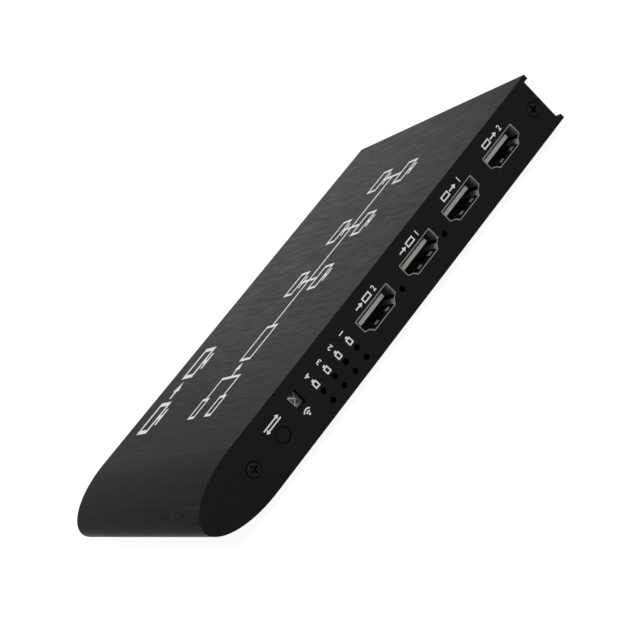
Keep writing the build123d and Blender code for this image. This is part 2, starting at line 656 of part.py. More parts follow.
def switch_body():
    """The moulded body of the push switch."""
    half = SWITCH_WIDTH / 2
    low, high = BUTTON_Z - SWITCH_HEIGHT / 2, BUTTON_Z + SWITCH_HEIGHT / 2
    body = box(BUTTON_X - half, BUTTON_X + half, SWITCH_FRONT, SWITCH_REAR, low, high)
    body -= rod(BUTTON_X, BUTTON_Z, PLUNGER_DIAMETER + 2 * PLUNGER_GAP, SWITCH_FRONT, SWITCH_ROOM_FRONT)
    return body - rod(BUTTON_X, BUTTON_Z, SWITCH_ROOM_DIAMETER, SWITCH_ROOM_FRONT, SWITCH_ROOM_REAR)


def switch_dome():
    """The snap dome against the rear of the switch's room, drawn flattened."""
    return rod(BUTTON_X, BUTTON_Z, DOME_DIAMETER, SWITCH_ROOM_REAR - DOME_THICKNESS, SWITCH_ROOM_REAR)


def switch_terminals():
    """Four flat terminals that leave the sides of the switch and lie on the board."""
    terminals = []
    middle = (SWITCH_FRONT + SWITCH_REAR) / 2
    for side in (-1, 1):
        inner = BUTTON_X + side * SWITCH_WIDTH / 2
        x_low, x_high = sorted((inner, inner + side * TERMINAL_REACH))
        for end in (-1, 1):
            y = middle + end * TERMINAL_SPACING / 2
            y_low, y_high = y - TERMINAL_WIDTH / 2, y + TERMINAL_WIDTH / 2
            terminals.append(box(x_low, x_high, y_low, y_high, BOARD_TOP, BOARD_TOP + TERMINAL_THICKNESS))
    return terminals


def receiver_room(grow):
    """The space inside the receiver's shield, or its outside when grown by the sheet."""
    half = RECEIVER_SHIELD_WIDTH / 2 - RECEIVER_SHEET + grow
    y_low = RECEIVER_FRONT + RECEIVER_SHEET - grow
    y_high = RECEIVER_FRONT + RECEIVER_SHIELD_DEPTH
    z_high = RECEIVER_TOP - RECEIVER_SHEET + grow
    return box(RECEIVER_X - half, RECEIVER_X + half, y_low, y_high, BOARD_TOP, z_high)


def ir_shield():
    """The folded shield round the receiver: open behind, with a cross over its view."""
    half_width = RECEIVER_VIEW_WIDTH / 2
    half_height = RECEIVER_VIEW_HEIGHT / 2
    view = rectangle(-half_width, half_width, -half_height, half_height)
    bar_length = 2 * (RECEIVER_VIEW_WIDTH + RECEIVER_VIEW_HEIGHT)
    bar_angle = Vector(RECEIVER_VIEW_WIDTH, RECEIVER_VIEW_HEIGHT).get_angle(Vector(1, 0))
    for angle in (bar_angle, -bar_angle):
        view -= Rot(Z=angle) * Rectangle(bar_length, RECEIVER_BAR_WIDTH)
    view = Pos(RECEIVER_X, RECEIVER_VIEW_Z) * view
    opening = along_depth(view, RECEIVER_FRONT, RECEIVER_FRONT + RECEIVER_SHEET)
    return receiver_room(RECEIVER_SHEET) - receiver_room(0) - opening


def ir_receiver():
    """The receiver's moulded body with its round lens."""
    half = RECEIVER_SHIELD_WIDTH / 2 - RECEIVER_SHEET - RECEIVER_GAP
    lens_front = RECEIVER_FRONT + RECEIVER_SHEET + RECEIVER_GAP
    y_low = lens_front + RECEIVER_LENS_PROUD
    y_high = RECEIVER_FRONT + RECEIVER_SHIELD_DEPTH
    z_low = BOARD_TOP + RECEIVER_FOOT_GAP
    z_high = RECEIVER_TOP - RECEIVER_SHEET - RECEIVER_GAP
    body = box(RECEIVER_X - half, RECEIVER_X + half, y_low, y_high, z_low, z_high)
    lens = rod(RECEIVER_X, RECEIVER_VIEW_Z, RECEIVER_LENS_DIAMETER, lens_front, y_low)
    return body + fillet(lens.edges().group_by(Axis.Y)[0], RECEIVER_LENS_PROUD / 2)


def lead_places():
    """The three leads of the receiver, in X."""
    return [RECEIVER_X + LEAD_PITCH * step for step in (-1, 0, 1)]


def lead_box(x, grow, z_high):
    """One lead, or its hole in the board when grown."""
    y = RECEIVER_FRONT + LEADS_BACK
    half = LEAD_WIDTH / 2 + grow
    return box(x - half, x + half, y - half, y + half, LEG_END, z_high)


def ir_leads():
    """The receiver's leads, from its body down through the board."""
    return [lead_box(x, 0, BOARD_TOP + RECEIVER_FOOT_GAP) for x in lead_places()]


def link_ears(x):
    """Where the two soldered ears of a jack's shield are: side and the X of its edge."""
    return [(side, x + side * LINK_WIDTH / 2) for side in (-1, 1)]


def link_ear_leg(side, edge, grow):
    """The leg of an ear, or its slot in the board when grown."""
    outer = edge + side * LINK_EAR_REACH
    x_low, x_high = sorted((outer, outer - side * LINK_SHEET))
    y = LINK_MOUTH - LINK_EAR_BACK
    half = LINK_LEG_WIDTH / 2 + grow
    top = BOARD_TOP + LINK_SHEET
    return box(x_low - grow, x_high + grow, y - half, y + half, LEG_END, top)


def link_shield(x):
    """A jack's folded shield: open below, with a frame round the plug cavity."""
    half = LINK_WIDTH / 2
    sheet = LINK_SHEET
    shield = box(x - half, x + half, LINK_BACK, LINK_MOUTH, LINK_BOTTOM, LINK_TOP)
    room = half - sheet
    shield -= box(x - room, x + room, LINK_BACK + sheet, LINK_MOUTH - sheet, LINK_BOTTOM, LINK_TOP - sheet)
    tail_gap = BOARD_TOP + 2 * LINK_CONTACT_THICKNESS
    shield -= box(x - room, x + room, LINK_BACK, LINK_BACK + sheet, LINK_BOTTOM, tail_gap)
    margin = LINK_FRAME_MARGIN
    frame = PLUG_WIDTH / 2 + margin
    frame_low = CAVITY_BOTTOM - KEY_HEIGHT - LATCH_HEIGHT - margin
    shield -= box(x - frame, x + frame, LINK_MOUTH - sheet, LINK_MOUTH, frame_low, CAVITY_TOP + margin)
    y = LINK_MOUTH - LINK_EAR_BACK
    for side, edge in link_ears(x):
        x_low, x_high = sorted((edge - side * sheet, edge + side * LINK_EAR_REACH))
        ear_low, ear_high = y - LINK_EAR_LENGTH / 2, y + LINK_EAR_LENGTH / 2
        shield += box(x_low, x_high, ear_low, ear_high, BOARD_TOP, BOARD_TOP + sheet)
        shield += link_ear_leg(side, edge, 0)
    return shield


def link_contacts(x):
    """A jack's eight wires: a spring in the cavity, a run above it, a tail and a foot on the board."""
    bend = LINK_MOUTH - LINK_CONTACT_BEND_BACK
    roof = CAVITY_TOP + LINK_CONTACT_ROOF
    tail = LINK_BACK + LINK_CONTACT_TAIL_INSET
    foot = BOARD_TOP + LINK_CONTACT_THICKNESS / 2
    path = [
        (LINK_MOUTH - LINK_CONTACT_TIP_BACK, CAVITY_TOP - LINK_CONTACT_DROP),
        (bend, CAVITY_TOP),
        (bend + LINK_CONTACT_ROOF / 2, CAVITY_TOP + LINK_CONTACT_ROOF / 2),
        (bend, roof),
        (tail, roof),
        (tail, foot),
        (LINK_BACK - LINK_CONTACT_FOOT, foot),
    ]
    wires = []
    for step in range(LINK_CONTACTS):
        wire_x = x + LINK_CONTACT_PITCH * (step - (LINK_CONTACTS - 1) / 2)
        wires.append(ribbon(path, LINK_CONTACT_THICKNESS, wire_x, LINK_CONTACT_WIDTH))
    return wires


def link_housing(x):
    """A jack's moulded housing, with its plug cavity, key and latch way."""
    gap = LINK_SHEET + LINK_HOUSING_GAP
    half = LINK_WIDTH / 2 - gap
    front = LINK_MOUTH - gap
    housing = box(x - half, x + half, LINK_BACK + gap, front, LINK_BOTTOM, LINK_TOP - gap)
    back = LINK_MOUTH - PLUG_DEPTH
    key_bottom = CAVITY_BOTTOM - KEY_HEIGHT
    latch_bottom = key_bottom - LATCH_HEIGHT
    housing -= box(x - PLUG_WIDTH / 2, x + PLUG_WIDTH / 2, back, front, CAVITY_BOTTOM, CAVITY_TOP)
    housing -= box(x - KEY_WIDTH / 2, x + KEY_WIDTH / 2, back, front, key_bottom, CAVITY_BOTTOM)
    housing -= box(x - LATCH_WIDTH / 2, x + LATCH_WIDTH / 2, back, front, latch_bottom, key_bottom)
    return housing - link_contacts(x)


def dc_jack_pin():
    """The power inlet's centre pin, its thinner root and the blade that takes it to the board."""
    tip = REAR_FACE - POWER_PIN_SUNK
    pin = rod(POWER_X, POWER_AXIS, POWER_PIN_DIAMETER, POWER_BORE_END, tip)
    pin = fillet(pin.edges().group_by(Axis.Y)[-1], POWER_PIN_ROUND)
    pin += rod(POWER_X, POWER_AXIS, POWER_PIN_ROOT_DIAMETER, POWER_BACK, POWER_BORE_END)
    return pin + power_blade(0, POWER_AXIS + POWER_BLADE_WIDTH / 2)


def power_blade(grow, z_high):
    """The pin's blade, or its slot in the board when grown."""
    half = POWER_BLADE_WIDTH / 2 + grow
    y_low = POWER_BACK - POWER_BLADE_THICKNESS - grow
    return box(POWER_X - half, POWER_X + half, y_low, POWER_BACK + grow, LEG_END, z_high)


def spring_leaf(width, thickness):
    """The power inlet's side contact: a leaf that bows into the bore."""
    wall = POWER_X + POWER_BORE / 2 + POWER_SPRING_THICKNESS
    crest = POWER_X + POWER_BORE / 2 - POWER_SPRING_REACH + POWER_SPRING_THICKNESS / 2
    middle = (POWER_BORE_END + POWER_FRONT) / 2
    tip = POWER_FRONT - POWER_SPRING_TIP
    points = [(wall, POWER_BACK), (wall, POWER_BORE_END), (crest, middle), (wall, tip)]
    plane = Plane(origin=(0, 0, POWER_AXIS - width / 2), x_dir=(1, 0, 0), z_dir=(0, 0, 1))
    return extrude(plane * trace(Polyline(*points), thickness), amount=width)


def spring_leg(grow, z_high):
    """The leaf's leg, or its slot in the board when grown."""
    wall = POWER_X + POWER_BORE / 2 + POWER_SPRING_THICKNESS
    half = POWER_SPRING_THICKNESS / 2 + grow
    y_high = POWER_BACK + grow
    y_low = POWER_BACK - POWER_SPRING_WIDTH - grow
    return box(wall - half, wall + half, y_low, y_high, LEG_END, z_high)


def dc_jack_spring():
    """The leaf and its leg, behind the block."""
    leaf = spring_leaf(POWER_SPRING_WIDTH, POWER_SPRING_THICKNESS)
    return leaf + spring_leg(0, POWER_AXIS + POWER_SPRING_WIDTH / 2)


def dc_jack_housing():
    """The power inlet's moulded block, with a round collar that fills the hole in the plate."""
    half = POWER_WIDTH / 2
    block = box(POWER_X - half, POWER_X + half, POWER_BACK, POWER_FRONT, BOARD_TOP, POWER_TOP)
    block += rod(POWER_X, POWER_AXIS, POWER_COLLAR_DIAMETER, POWER_FRONT, REAR_FACE)
    block -= rod(POWER_X, POWER_AXIS, POWER_BORE, POWER_BORE_END, REAR_FACE)
    block -= rod(POWER_X, POWER_AXIS, POWER_PIN_ROOT_DIAMETER, POWER_BACK, POWER_BORE_END)
    room = POWER_SPRING_ROOM
    thickness = POWER_SPRING_THICKNESS + 2 * room
    return block - spring_leaf(POWER_SPRING_WIDTH + 2 * room, thickness)


def main_board():
    """The circuit board, cut out for the jacks, with slots and holes for everything that goes through."""
    board = box(BOARD_LEFT, BOARD_RIGHT, BOARD_FRONT, BOARD_REAR, BOARD_BOTTOM, BOARD_TOP)
    gap = LINK_BOARD_GAP
    half = LINK_WIDTH / 2 + gap
    cuts = []
    for x in LINK_XS:
        cuts.append(box(x - half, x + half, LINK_BACK - gap, SLEEVE_REAR, BOARD_BOTTOM, BOARD_TOP))
        cuts += [link_ear_leg(side, edge, BOARD_SLOT_GAP) for side, edge in link_ears(x)]
    gap = BOARD_SLOT_GAP
    for x in VIDEO_XS:
        for low_x, high_x, low_y, high_y in shell_legs(x):
            cuts.append(box(low_x - gap, high_x + gap, low_y - gap, high_y + gap, LEG_END, BOARD_TOP))
    cuts += [lead_box(x, gap, BOARD_TOP) for x in lead_places()]
    cuts += [power_blade(gap, BOARD_TOP), spring_leg(gap, BOARD_TOP)]
    return board - cuts


def insulating_film():
    """The plastic film on the floor of the sleeve, under the board."""
    inset = FILM_INSET
    left, right = BOARD_LEFT + inset, BOARD_RIGHT - inset
    return box(left, right, BOARD_FRONT + inset, BOARD_REAR - inset, FLOOR, FLOOR + FILM_THICKNESS)


def thermal_pad():
    """The soft pad between the matrix chip and its heatsink."""
    width, depth, height = MATRIX_CHIP_SIZE
    return on_board((width, depth, PAD_THICKNESS), MATRIX_CHIP_PLACE, height)


def heatsink():
    """The finned heatsink on the matrix chip."""
    seat = MATRIX_CHIP_SIZE[2] + PAD_THICKNESS
    width = HEATSINK_WIDTH
    sink = on_board((width, width, HEATSINK_HEIGHT), MATRIX_CHIP_PLACE, seat)
    x, y = MATRIX_CHIP_PLACE
    fin = HEATSINK_FIN_THICKNESS
    groove = (width - HEATSINK_FINS * fin) / (HEATSINK_FINS - 1)
    for step in range(HEATSINK_FINS - 1):
        groove_x = x - width / 2 + fin + groove / 2 + step * (fin + groove)
        groove_size = (groove, width, HEATSINK_HEIGHT - HEATSINK_BASE)
        sink -= on_board(groove_size, (groove_x, y), seat + HEATSINK_BASE)
    return sink


def power_inductor(place):
    """One shielded inductor with softened corners."""
    block = on_board(INDUCTOR_SIZE, place)
    return chamfer(block.edges().filter_by(Axis.Z), INDUCTOR_EDGE)


def capacitor(place):
    """One can capacitor on its moulded base."""
    base = on_board((CAPACITOR_BASE, CAPACITOR_BASE, CAPACITOR_BASE_HEIGHT), place)
    can_height = CAPACITOR_HEIGHT - CAPACITOR_BASE_HEIGHT
    x, y = place
    can_middle = BOARD_TOP + CAPACITOR_BASE_HEIGHT + can_height / 2
    return base + Pos(x, y, can_middle) * Cylinder(CAPACITOR_DIAMETER / 2, can_height)


def crystal():
    """The crystal's can with round ends."""
    width, depth, height = CRYSTAL_SIZE
    x, y = CRYSTAL_PLACE
    can = SlotOverall(width, depth)
    return extrude(Pos(x, y, BOARD_TOP) * can, amount=height)


def all_nodes():
    """Every sub-part by name, each a solid or a list of like solids."""
    front_screws = [front_screw(x) for x in (LEFT_SCREW_X, RIGHT_SCREW_X)]
    nodes = {
        "housing_sleeve": housing_sleeve(),
        "front_plate": front_plate(),
        "rear_plate": rear_plate(),
        "front_plate_screws": front_screws,
        "rear_plate_screws": [screw.mirror(Plane.XZ) for screw in front_screws],
        "rubber_feet": rubber_feet(),
        "main_board": main_board(),
        "insulating_film": insulating_film(),
        "link_lamps": link_lamps(),
        "input_lamps": input_lamps(),
        "switch_cap": switch_cap(),
        "switch_plunger": switch_plunger(),
        "switch_body": switch_body(),
        "switch_dome": switch_dome(),
        "switch_terminals": switch_terminals(),
        "ir_shield": ir_shield(),
        "ir_receiver": ir_receiver(),
        "ir_leads": ir_leads(),
        "dc_jack_housing": dc_jack_housing(),
        "dc_jack_pin": dc_jack_pin(),
        "dc_jack_spring": dc_jack_spring(),
        "matrix_chip": on_board(MATRIX_CHIP_SIZE, MATRIX_CHIP_PLACE),
        "thermal_pad": thermal_pad(),
        "heatsink": heatsink(),
        "sender_chips": [on_board(SENDER_CHIP_SIZE, (x, SENDER_CHIP_Y)) for x in LINK_XS],
        "signal_transformers": [on_board(TRANSFORMER_SIZE, (x, TRANSFORMER_Y)) for x in LINK_XS],
        "control_chip": on_board(CONTROL_CHIP_SIZE, CONTROL_CHIP_PLACE),
        "crystal": crystal(),
        "power_inductors": [power_inductor(place) for place in INDUCTOR_PLACES],
        "capacitors": [capacitor(place) for place in CAPACITOR_PLACES],
    }
    for name, x in zip(VIDEO_NAMES, VIDEO_XS):
        nodes[name + "_shell"] = video_shell(x)
        nodes[name + "_insulator"] = video_insulator(x)
        nodes[name + "_contacts"] = video_contacts(x)
    for number, x in enumerate(LINK_XS, start=1):
        nodes[f"link_{number}_shield"] = link_shield(x)
        nodes[f"link_{number}_housing"] = link_housing(x)
        nodes[f"link_{number}_contacts"] = link_contacts(x)
    return nodes


def write_parts():
    """Write one STEP file for each node."""
    os.makedirs("parts", exist_ok=True)
    for name, shape in all_nodes().items():
        if isinstance(shape, list):
            shape = Compound(children=shape)
        export_step(shape, os.path.join("parts", name + ".step"))


write_parts()
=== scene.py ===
import json
import math

import bpy
from mathutils import Matrix, Quaternion, Vector


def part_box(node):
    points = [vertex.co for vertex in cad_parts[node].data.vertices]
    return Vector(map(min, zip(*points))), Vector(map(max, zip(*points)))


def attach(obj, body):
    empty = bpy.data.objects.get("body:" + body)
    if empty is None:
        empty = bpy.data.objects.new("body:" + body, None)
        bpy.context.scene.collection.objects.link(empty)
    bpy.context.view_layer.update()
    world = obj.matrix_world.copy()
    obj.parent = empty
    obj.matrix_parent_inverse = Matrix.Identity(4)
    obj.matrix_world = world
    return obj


# A video switch and network extender in a flat black aluminium case, dressed for its picture. The
# script works in metres, and MM turns a size in millimetres into them.

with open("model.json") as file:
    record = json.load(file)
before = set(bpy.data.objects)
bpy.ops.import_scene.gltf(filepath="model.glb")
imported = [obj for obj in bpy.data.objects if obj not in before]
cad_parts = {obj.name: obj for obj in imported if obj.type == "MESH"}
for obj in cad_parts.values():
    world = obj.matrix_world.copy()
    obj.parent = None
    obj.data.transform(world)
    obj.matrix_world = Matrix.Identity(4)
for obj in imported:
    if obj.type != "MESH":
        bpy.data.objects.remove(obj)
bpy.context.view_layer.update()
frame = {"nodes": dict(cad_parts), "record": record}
nodes = frame["nodes"]

MM = 0.001

# The picture: where the camera stands, what it looks at, how far it leans to the right, and its lens
CAMERA_PLACE = (-0.18064, -0.45073, 0.12967)
CAMERA_TARGET = (-0.00084, -0.01148, 0.0107)
CAMERA_LEAN = -45.97
CAMERA_LENS = 94.52
CAMERA_SENSOR = 36.0

# Studio: a large soft lamp above the left front, a weak one low behind on the right, and a pale room.
# Each lamp is its place, the side of its square and its power in watts.
FRONT_LAMP = ((-0.5, -0.6, 1.2), 1.0, 9.0)
REAR_LAMP = ((0.5, 1.0, 0.26), 0.4, 0.5)
ROOM_LIGHT = 0.45

# The floor: its size, its paint, the strength of its glow, and the share of it that is seen as that
# glow, which makes it white and leaves the case a faint shadow
FLOOR_SIZE = 6.0
FLOOR_PAINT = "#e6e6e6"
FLOOR_GLOW = 1.17
FLOOR_WHITE = 0.8

# Anodised colours: the brushed case and its sheen at a low angle, and the blasted plates, which have
# one roughness
CASE_DARK = "#1e1f20"
CASE_LIGHT = "#2d2e30"
CASE_RIM = "#b7b8b9"
PLATE_DARK = "#17191a"
PLATE_LIGHT = "#1e2021"
PLATE_ROUGHNESS = 0.55

# Brushing marks, in millimetres across, along and up: fine ones, and broad ones that vary them. Real
# ones are finer than 0.1 mm; these are coarser, so that they show.
FINE_STREAKS = (0.5, 6.0, 0.5)
BROAD_STREAKS = (1.5, 16.0, 1.5)

# The sums of the two that look darkest and lightest, and the case's roughness at them
STREAK_SUMS = (0.75, 1.25)
STREAK_ROUGHNESS = (0.36, 0.48)

# The middle of a plate in X and Z, and how far from it the plate's openings reach at most
PLATE_OPENINGS = {"X": (8.2 * MM, 70.5 * MM), "Z": (10.7 * MM, 7.7 * MM)}

# Stamped steel: its two colours, which are dark, a painted shade, and its roughness, and then the faces
# that are painted lighter or darker by the way they look, as painted light and shade, each kind over those
# before it. A kind has the axis that its faces look along, either way, the least part of their normal on
# that axis, their two colours and their roughness.
STEEL = ("#464644", "#545451", 0.28)
STEEL_PAINTED_LIGHT_AND_SHADE = (
    # Slopes of the spring fingers, painted bright: a painted highlight
    ("Y", 0.4, "#adada6", "#bebeb8", 0.45),
    # Flared mouths, a little steeper, smooth and dark like the rest, in the same painted shade
    ("Y", 0.435, *STEEL),
    # Sides, painted pale, a painted light, and matt
    ("X", 0.5, "#8c8c87", "#a2a29c", 0.5),
    # Faces that look to the front or rear, the cut edges, painted a lighter grey: a painted highlight
    ("Y", 0.9, "#767673", "#868682", 0.3),
)

# Behind this depth the sockets' insulators are painted black: a painted shade inside the sockets
PAINTED_SHADE_FRONT = -42.6 * MM

# The traces under the solder mask: their spacing, and the share of it that the gaps take
TRACE_SPACING = 1.2 * MM
TRACE_GAP = 0.12

# How far a finish's roughness wanders, either way
ROUGHNESS_SPREAD = 0.05

# The Mix node's sockets, by number, since their names repeat: the factor, the two values or the two
# colours that it mixes, and the mixed colour
FACTOR, VALUE_A, VALUE_B, COLOUR_A, COLOUR_B = 0, 2, 3, 6, 7
MIXED_COLOUR = 2

# White screen-printed marks: the ink, the lines on the front, and the height of marks and digits there
INK_THICKNESS = 0.02 * MM
LINE = 0.4 * MM
MARK_HEIGHT = 1.7 * MM
MARK_HALF = MARK_HEIGHT / 2

# A text's size for each millimetre of its digits' height, and how far their outline is pushed out
TEXT_PER_DIGIT = 1.42
DIGIT_BOLDER = 0.04 * MM

# Half the width of an arrow's head, as a share of the head's length
HEAD_SPREAD = 0.62


def linear(hex_colour):
    """The linear colour of an sRGB colour written in hex."""
    channels = []
    for start in (1, 3, 5):
        value = int(hex_colour[start:start + 2], 16) / 255
        channels.append(value / 12.92 if value <= 0.04045 else ((value + 0.055) / 1.055) ** 2.4)
    return (*channels, 1.0)


def add_node(tree, kind, inputs=(), **settings):
    """Add a shader node. Inputs are numbers, colours or other nodes' outputs, by socket."""
    node = tree.nodes.new("ShaderNode" + kind)
    for name, value in settings.items():
        setattr(node, name, value)
    for socket, value in dict(inputs).items():
        if isinstance(value, bpy.types.NodeSocket):
            tree.links.new(value, node.inputs[socket])
        else:
            node.inputs[socket].default_value = value
    return node


def new_material(name):
    """An empty material and its node tree."""
    material = bpy.data.materials.new(name)
    material.use_nodes = True
    material.node_tree.nodes.clear()
    return material, material.node_tree


def grain(tree, size_mm, detail=2.0, seed=0.0):
    """A mottle between 0 and 1 whose blotches have a real size along X, Y and Z."""
    place = add_node(tree, "TexCoord").outputs["Object"]
    scale = [1 / (size * MM) for size in size_mm]
    mapping = {"Vector": place, "Location": (seed, seed, seed), "Scale": scale}
    mapped = add_node(tree, "Mapping", mapping).outputs[0]
    return add_node(tree, "TexNoise", {"Vector": mapped, "Scale": 1.0, "Detail": detail}).outputs[0]


def tinted(tree, factor, dark, light):
    """A colour that wanders between two hex colours."""
    mixed = {FACTOR: factor, COLOUR_A: linear(dark), COLOUR_B: linear(light)}
    return add_node(tree, "Mix", mixed, data_type="RGBA").outputs[MIXED_COLOUR]


def facing(tree, axis, least):
    """1 on faces whose normal has at least the given part on an axis, either way, else 0."""
    normal = add_node(tree, "NewGeometry").outputs["Normal"]
    part = add_node(tree, "SeparateXYZ", {0: normal}).outputs[axis]
    part = add_node(tree, "Math", {0: part}, operation="ABSOLUTE").outputs[0]
    return add_node(tree, "Math", {0: part, 1: least}, operation="GREATER_THAN").outputs[0]


def surface(tree, inputs, height, relief_mm):
    """The shader itself, with the relief of its finish."""
    bump = add_node(tree, "Bump", {"Height": height, "Distance": relief_mm * MM, "Strength": 1.0})
    shader = add_node(tree, "BsdfPrincipled", {"Normal": bump.outputs[0], **inputs})
    add_node(tree, "OutputMaterial", {"Surface": shader.outputs[0]})


def grained(name, dark, light, grain_mm, relief_mm, roughness, metallic=0.0, specular=0.5):
    """A finish that wanders between two close colours on a grain of a real size, with its relief."""
    material, tree = new_material(name)
    height = grain(tree, (grain_mm, grain_mm, grain_mm))
    lowest, highest = roughness - ROUGHNESS_SPREAD, roughness + ROUGHNESS_SPREAD
    rough = add_node(tree, "MapRange", {"Value": height, "To Min": lowest, "To Max": highest})
    inputs = {"Base Color": tinted(tree, height, dark, light), "Roughness": rough.outputs[0]}
    inputs.update({"Metallic": metallic, "Specular IOR Level": specular})
    surface(tree, inputs, height, relief_mm)
    return material


def brushed_streaks(tree):
    """Brushing marks that run from front to rear, as a value between 0 and 1."""
    fine = grain(tree, FINE_STREAKS, detail=3.0)
    broad = grain(tree, BROAD_STREAKS, seed=7.0)
    streaks = add_node(tree, "Math", {0: fine, 1: broad}, operation="ADD").outputs[0]
    lowest, highest = STREAK_SUMS
    spread = {"Value": streaks, "From Min": lowest, "From Max": highest}
    return add_node(tree, "MapRange", spread).outputs[0]


def brushed_inputs(tree, streaks):
    """Colour and roughness of brushed aluminium, anodised dark grey."""
    lowest, highest = STREAK_ROUGHNESS
    rough = add_node(tree, "MapRange", {"Value": streaks, "To Min": lowest, "To Max": highest}).outputs[0]
    return tinted(tree, streaks, CASE_DARK, CASE_LIGHT), rough


def anodised(tree, colour, rough, height, relief_mm):
    """Anodised aluminium, whose sheen at a low angle is paler than its colour."""
    inputs = {"Base Color": colour, "Roughness": rough, "Metallic": 1.0, "Specular Tint": linear(CASE_RIM)}
    surface(tree, inputs, height, relief_mm)


def brushed_case():
    """Aluminium, brushed from front to rear and anodised dark grey: fine streaks in a soft sheen."""
    material, tree = new_material("anodised_aluminium_brushed")
    streaks = brushed_streaks(tree)
    colour, rough = brushed_inputs(tree, streaks)
    anodised(tree, colour, rough, streaks, relief_mm=0.02)
    return material


def blasted_plate():
    """Aluminium, bead-blasted and anodised black on its face: an even black that hardly shines. Its
    edge was brushed together with the case, so from above the two look like one piece."""
    material, tree = new_material("anodised_aluminium_blasted")
    beads = grain(tree, size_mm=(0.5, 0.5, 0.5))
    face = tinted(tree, beads, PLATE_DARK, PLATE_LIGHT)
    colour, rough = brushed_inputs(tree, brushed_streaks(tree))
    edge = outer_edge(tree)
    mixed = {FACTOR: edge, COLOUR_A: face, COLOUR_B: colour}
    colour = add_node(tree, "Mix", mixed, data_type="RGBA").outputs[MIXED_COLOUR]
    rough = add_node(tree, "Mix", {FACTOR: edge, VALUE_A: PLATE_ROUGHNESS, VALUE_B: rough}).outputs[0]
    anodised(tree, colour, rough, beads, relief_mm=0.003)
    return material


def outer_edge(tree):
    """1 on the outer edge of a plate, 0 on its face and in its openings."""
    place = add_node(tree, "TexCoord").outputs["Object"]
    parts = add_node(tree, "SeparateXYZ", {0: place}).outputs
    face = facing(tree, "Y", least=0.5)
    side = add_node(tree, "Math", {0: 1.0, 1: face}, operation="SUBTRACT").outputs[0]
    outside = 0.0
    for axis, (middle, reach) in PLATE_OPENINGS.items():
        away = add_node(tree, "Math", {0: parts[axis], 1: middle}, operation="SUBTRACT").outputs[0]
        away = add_node(tree, "Math", {0: away}, operation="ABSOLUTE").outputs[0]
        beyond = add_node(tree, "Math", {0: away, 1: reach}, operation="GREATER_THAN").outputs[0]
        outside = add_node(tree, "Math", {0: outside, 1: beyond}, operation="MAXIMUM").outputs[0]
    return add_node(tree, "Math", {0: side, 1: outside}, operation="MULTIPLY").outputs[0]


def stamped_steel():
    """Steel, stamped and nickel-plated, with light and shade painted by the way each face looks: floors
    and ceilings smooth and dark, a painted shade; spring fingers painted bright, a painted highlight;
    sides painted pale, a painted light, and matt; and cut edges painted a lighter grey, a painted
    highlight."""
    material, tree = new_material("nickel_plated_steel_stamped")
    height = grain(tree, size_mm=(0.8, 0.8, 0.8))
    dark, light, rough = STEEL
    colour = tinted(tree, height, dark, light)
    # Each kind of face is painted lighter or darker than the rest: painted light and shade
    for axis, least, dark, light, other_rough in STEEL_PAINTED_LIGHT_AND_SHADE:
        here = facing(tree, axis, least)
        other = tinted(tree, height, dark, light)
        mixed = {FACTOR: here, COLOUR_A: colour, COLOUR_B: other}
        colour = add_node(tree, "Mix", mixed, data_type="RGBA").outputs[MIXED_COLOUR]
        rough = add_node(tree, "Mix", {FACTOR: here, VALUE_A: rough, VALUE_B: other_rough}).outputs[0]
    surface(tree, {"Base Color": colour, "Roughness": rough, "Metallic": 1.0}, height, relief_mm=0.002)
    return material


def moulded_tongue():
    """Nylon, moulded: a pale matt grey tongue, and the insulator behind it painted black, a painted shade
    inside the socket.
    """
    material, tree = new_material("nylon_moulded_grey")
    height = grain(tree, size_mm=(0.3, 0.3, 0.3))
    place = add_node(tree, "TexCoord").outputs["Object"]
    depth = add_node(tree, "SeparateXYZ", {0: place}).outputs["Y"]
    # Painted shade: black behind the given depth
    behind = add_node(tree, "Math", {0: depth, 1: PAINTED_SHADE_FRONT}, operation="GREATER_THAN").outputs[0]
    tongue = tinted(tree, height, "#cfcfc8", "#dcdcd5")
    block = tinted(tree, height, "#131313", "#1b1b1b")
    mixed = {FACTOR: behind, COLOUR_A: tongue, COLOUR_B: block}
    colour = add_node(tree, "Mix", mixed, data_type="RGBA").outputs[MIXED_COLOUR]
    surface(tree, {"Base Color": colour, "Roughness": 0.5}, height, relief_mm=0.004)
    return material


def board_mask():
    """Solder mask on glass epoxy: dark green, with the faint raised lines of the traces under it."""
    material, tree = new_material("solder_mask_printed")
    place = add_node(tree, "TexCoord").outputs["Object"]
    mapped = add_node(tree, "Mapping", {"Vector": place, "Scale": (1 / TRACE_SPACING,) * 3}).outputs[0]
    lines = add_node(tree, "TexBrick", {"Vector": mapped, "Scale": 1.0, "Mortar Size": TRACE_GAP})
    inputs = {"Base Color": tinted(tree, lines.outputs["Fac"], "#0c3a22", "#13522f"), "Roughness": 0.35}
    surface(tree, inputs, lines.outputs["Fac"], relief_mm=0.03)
    return material


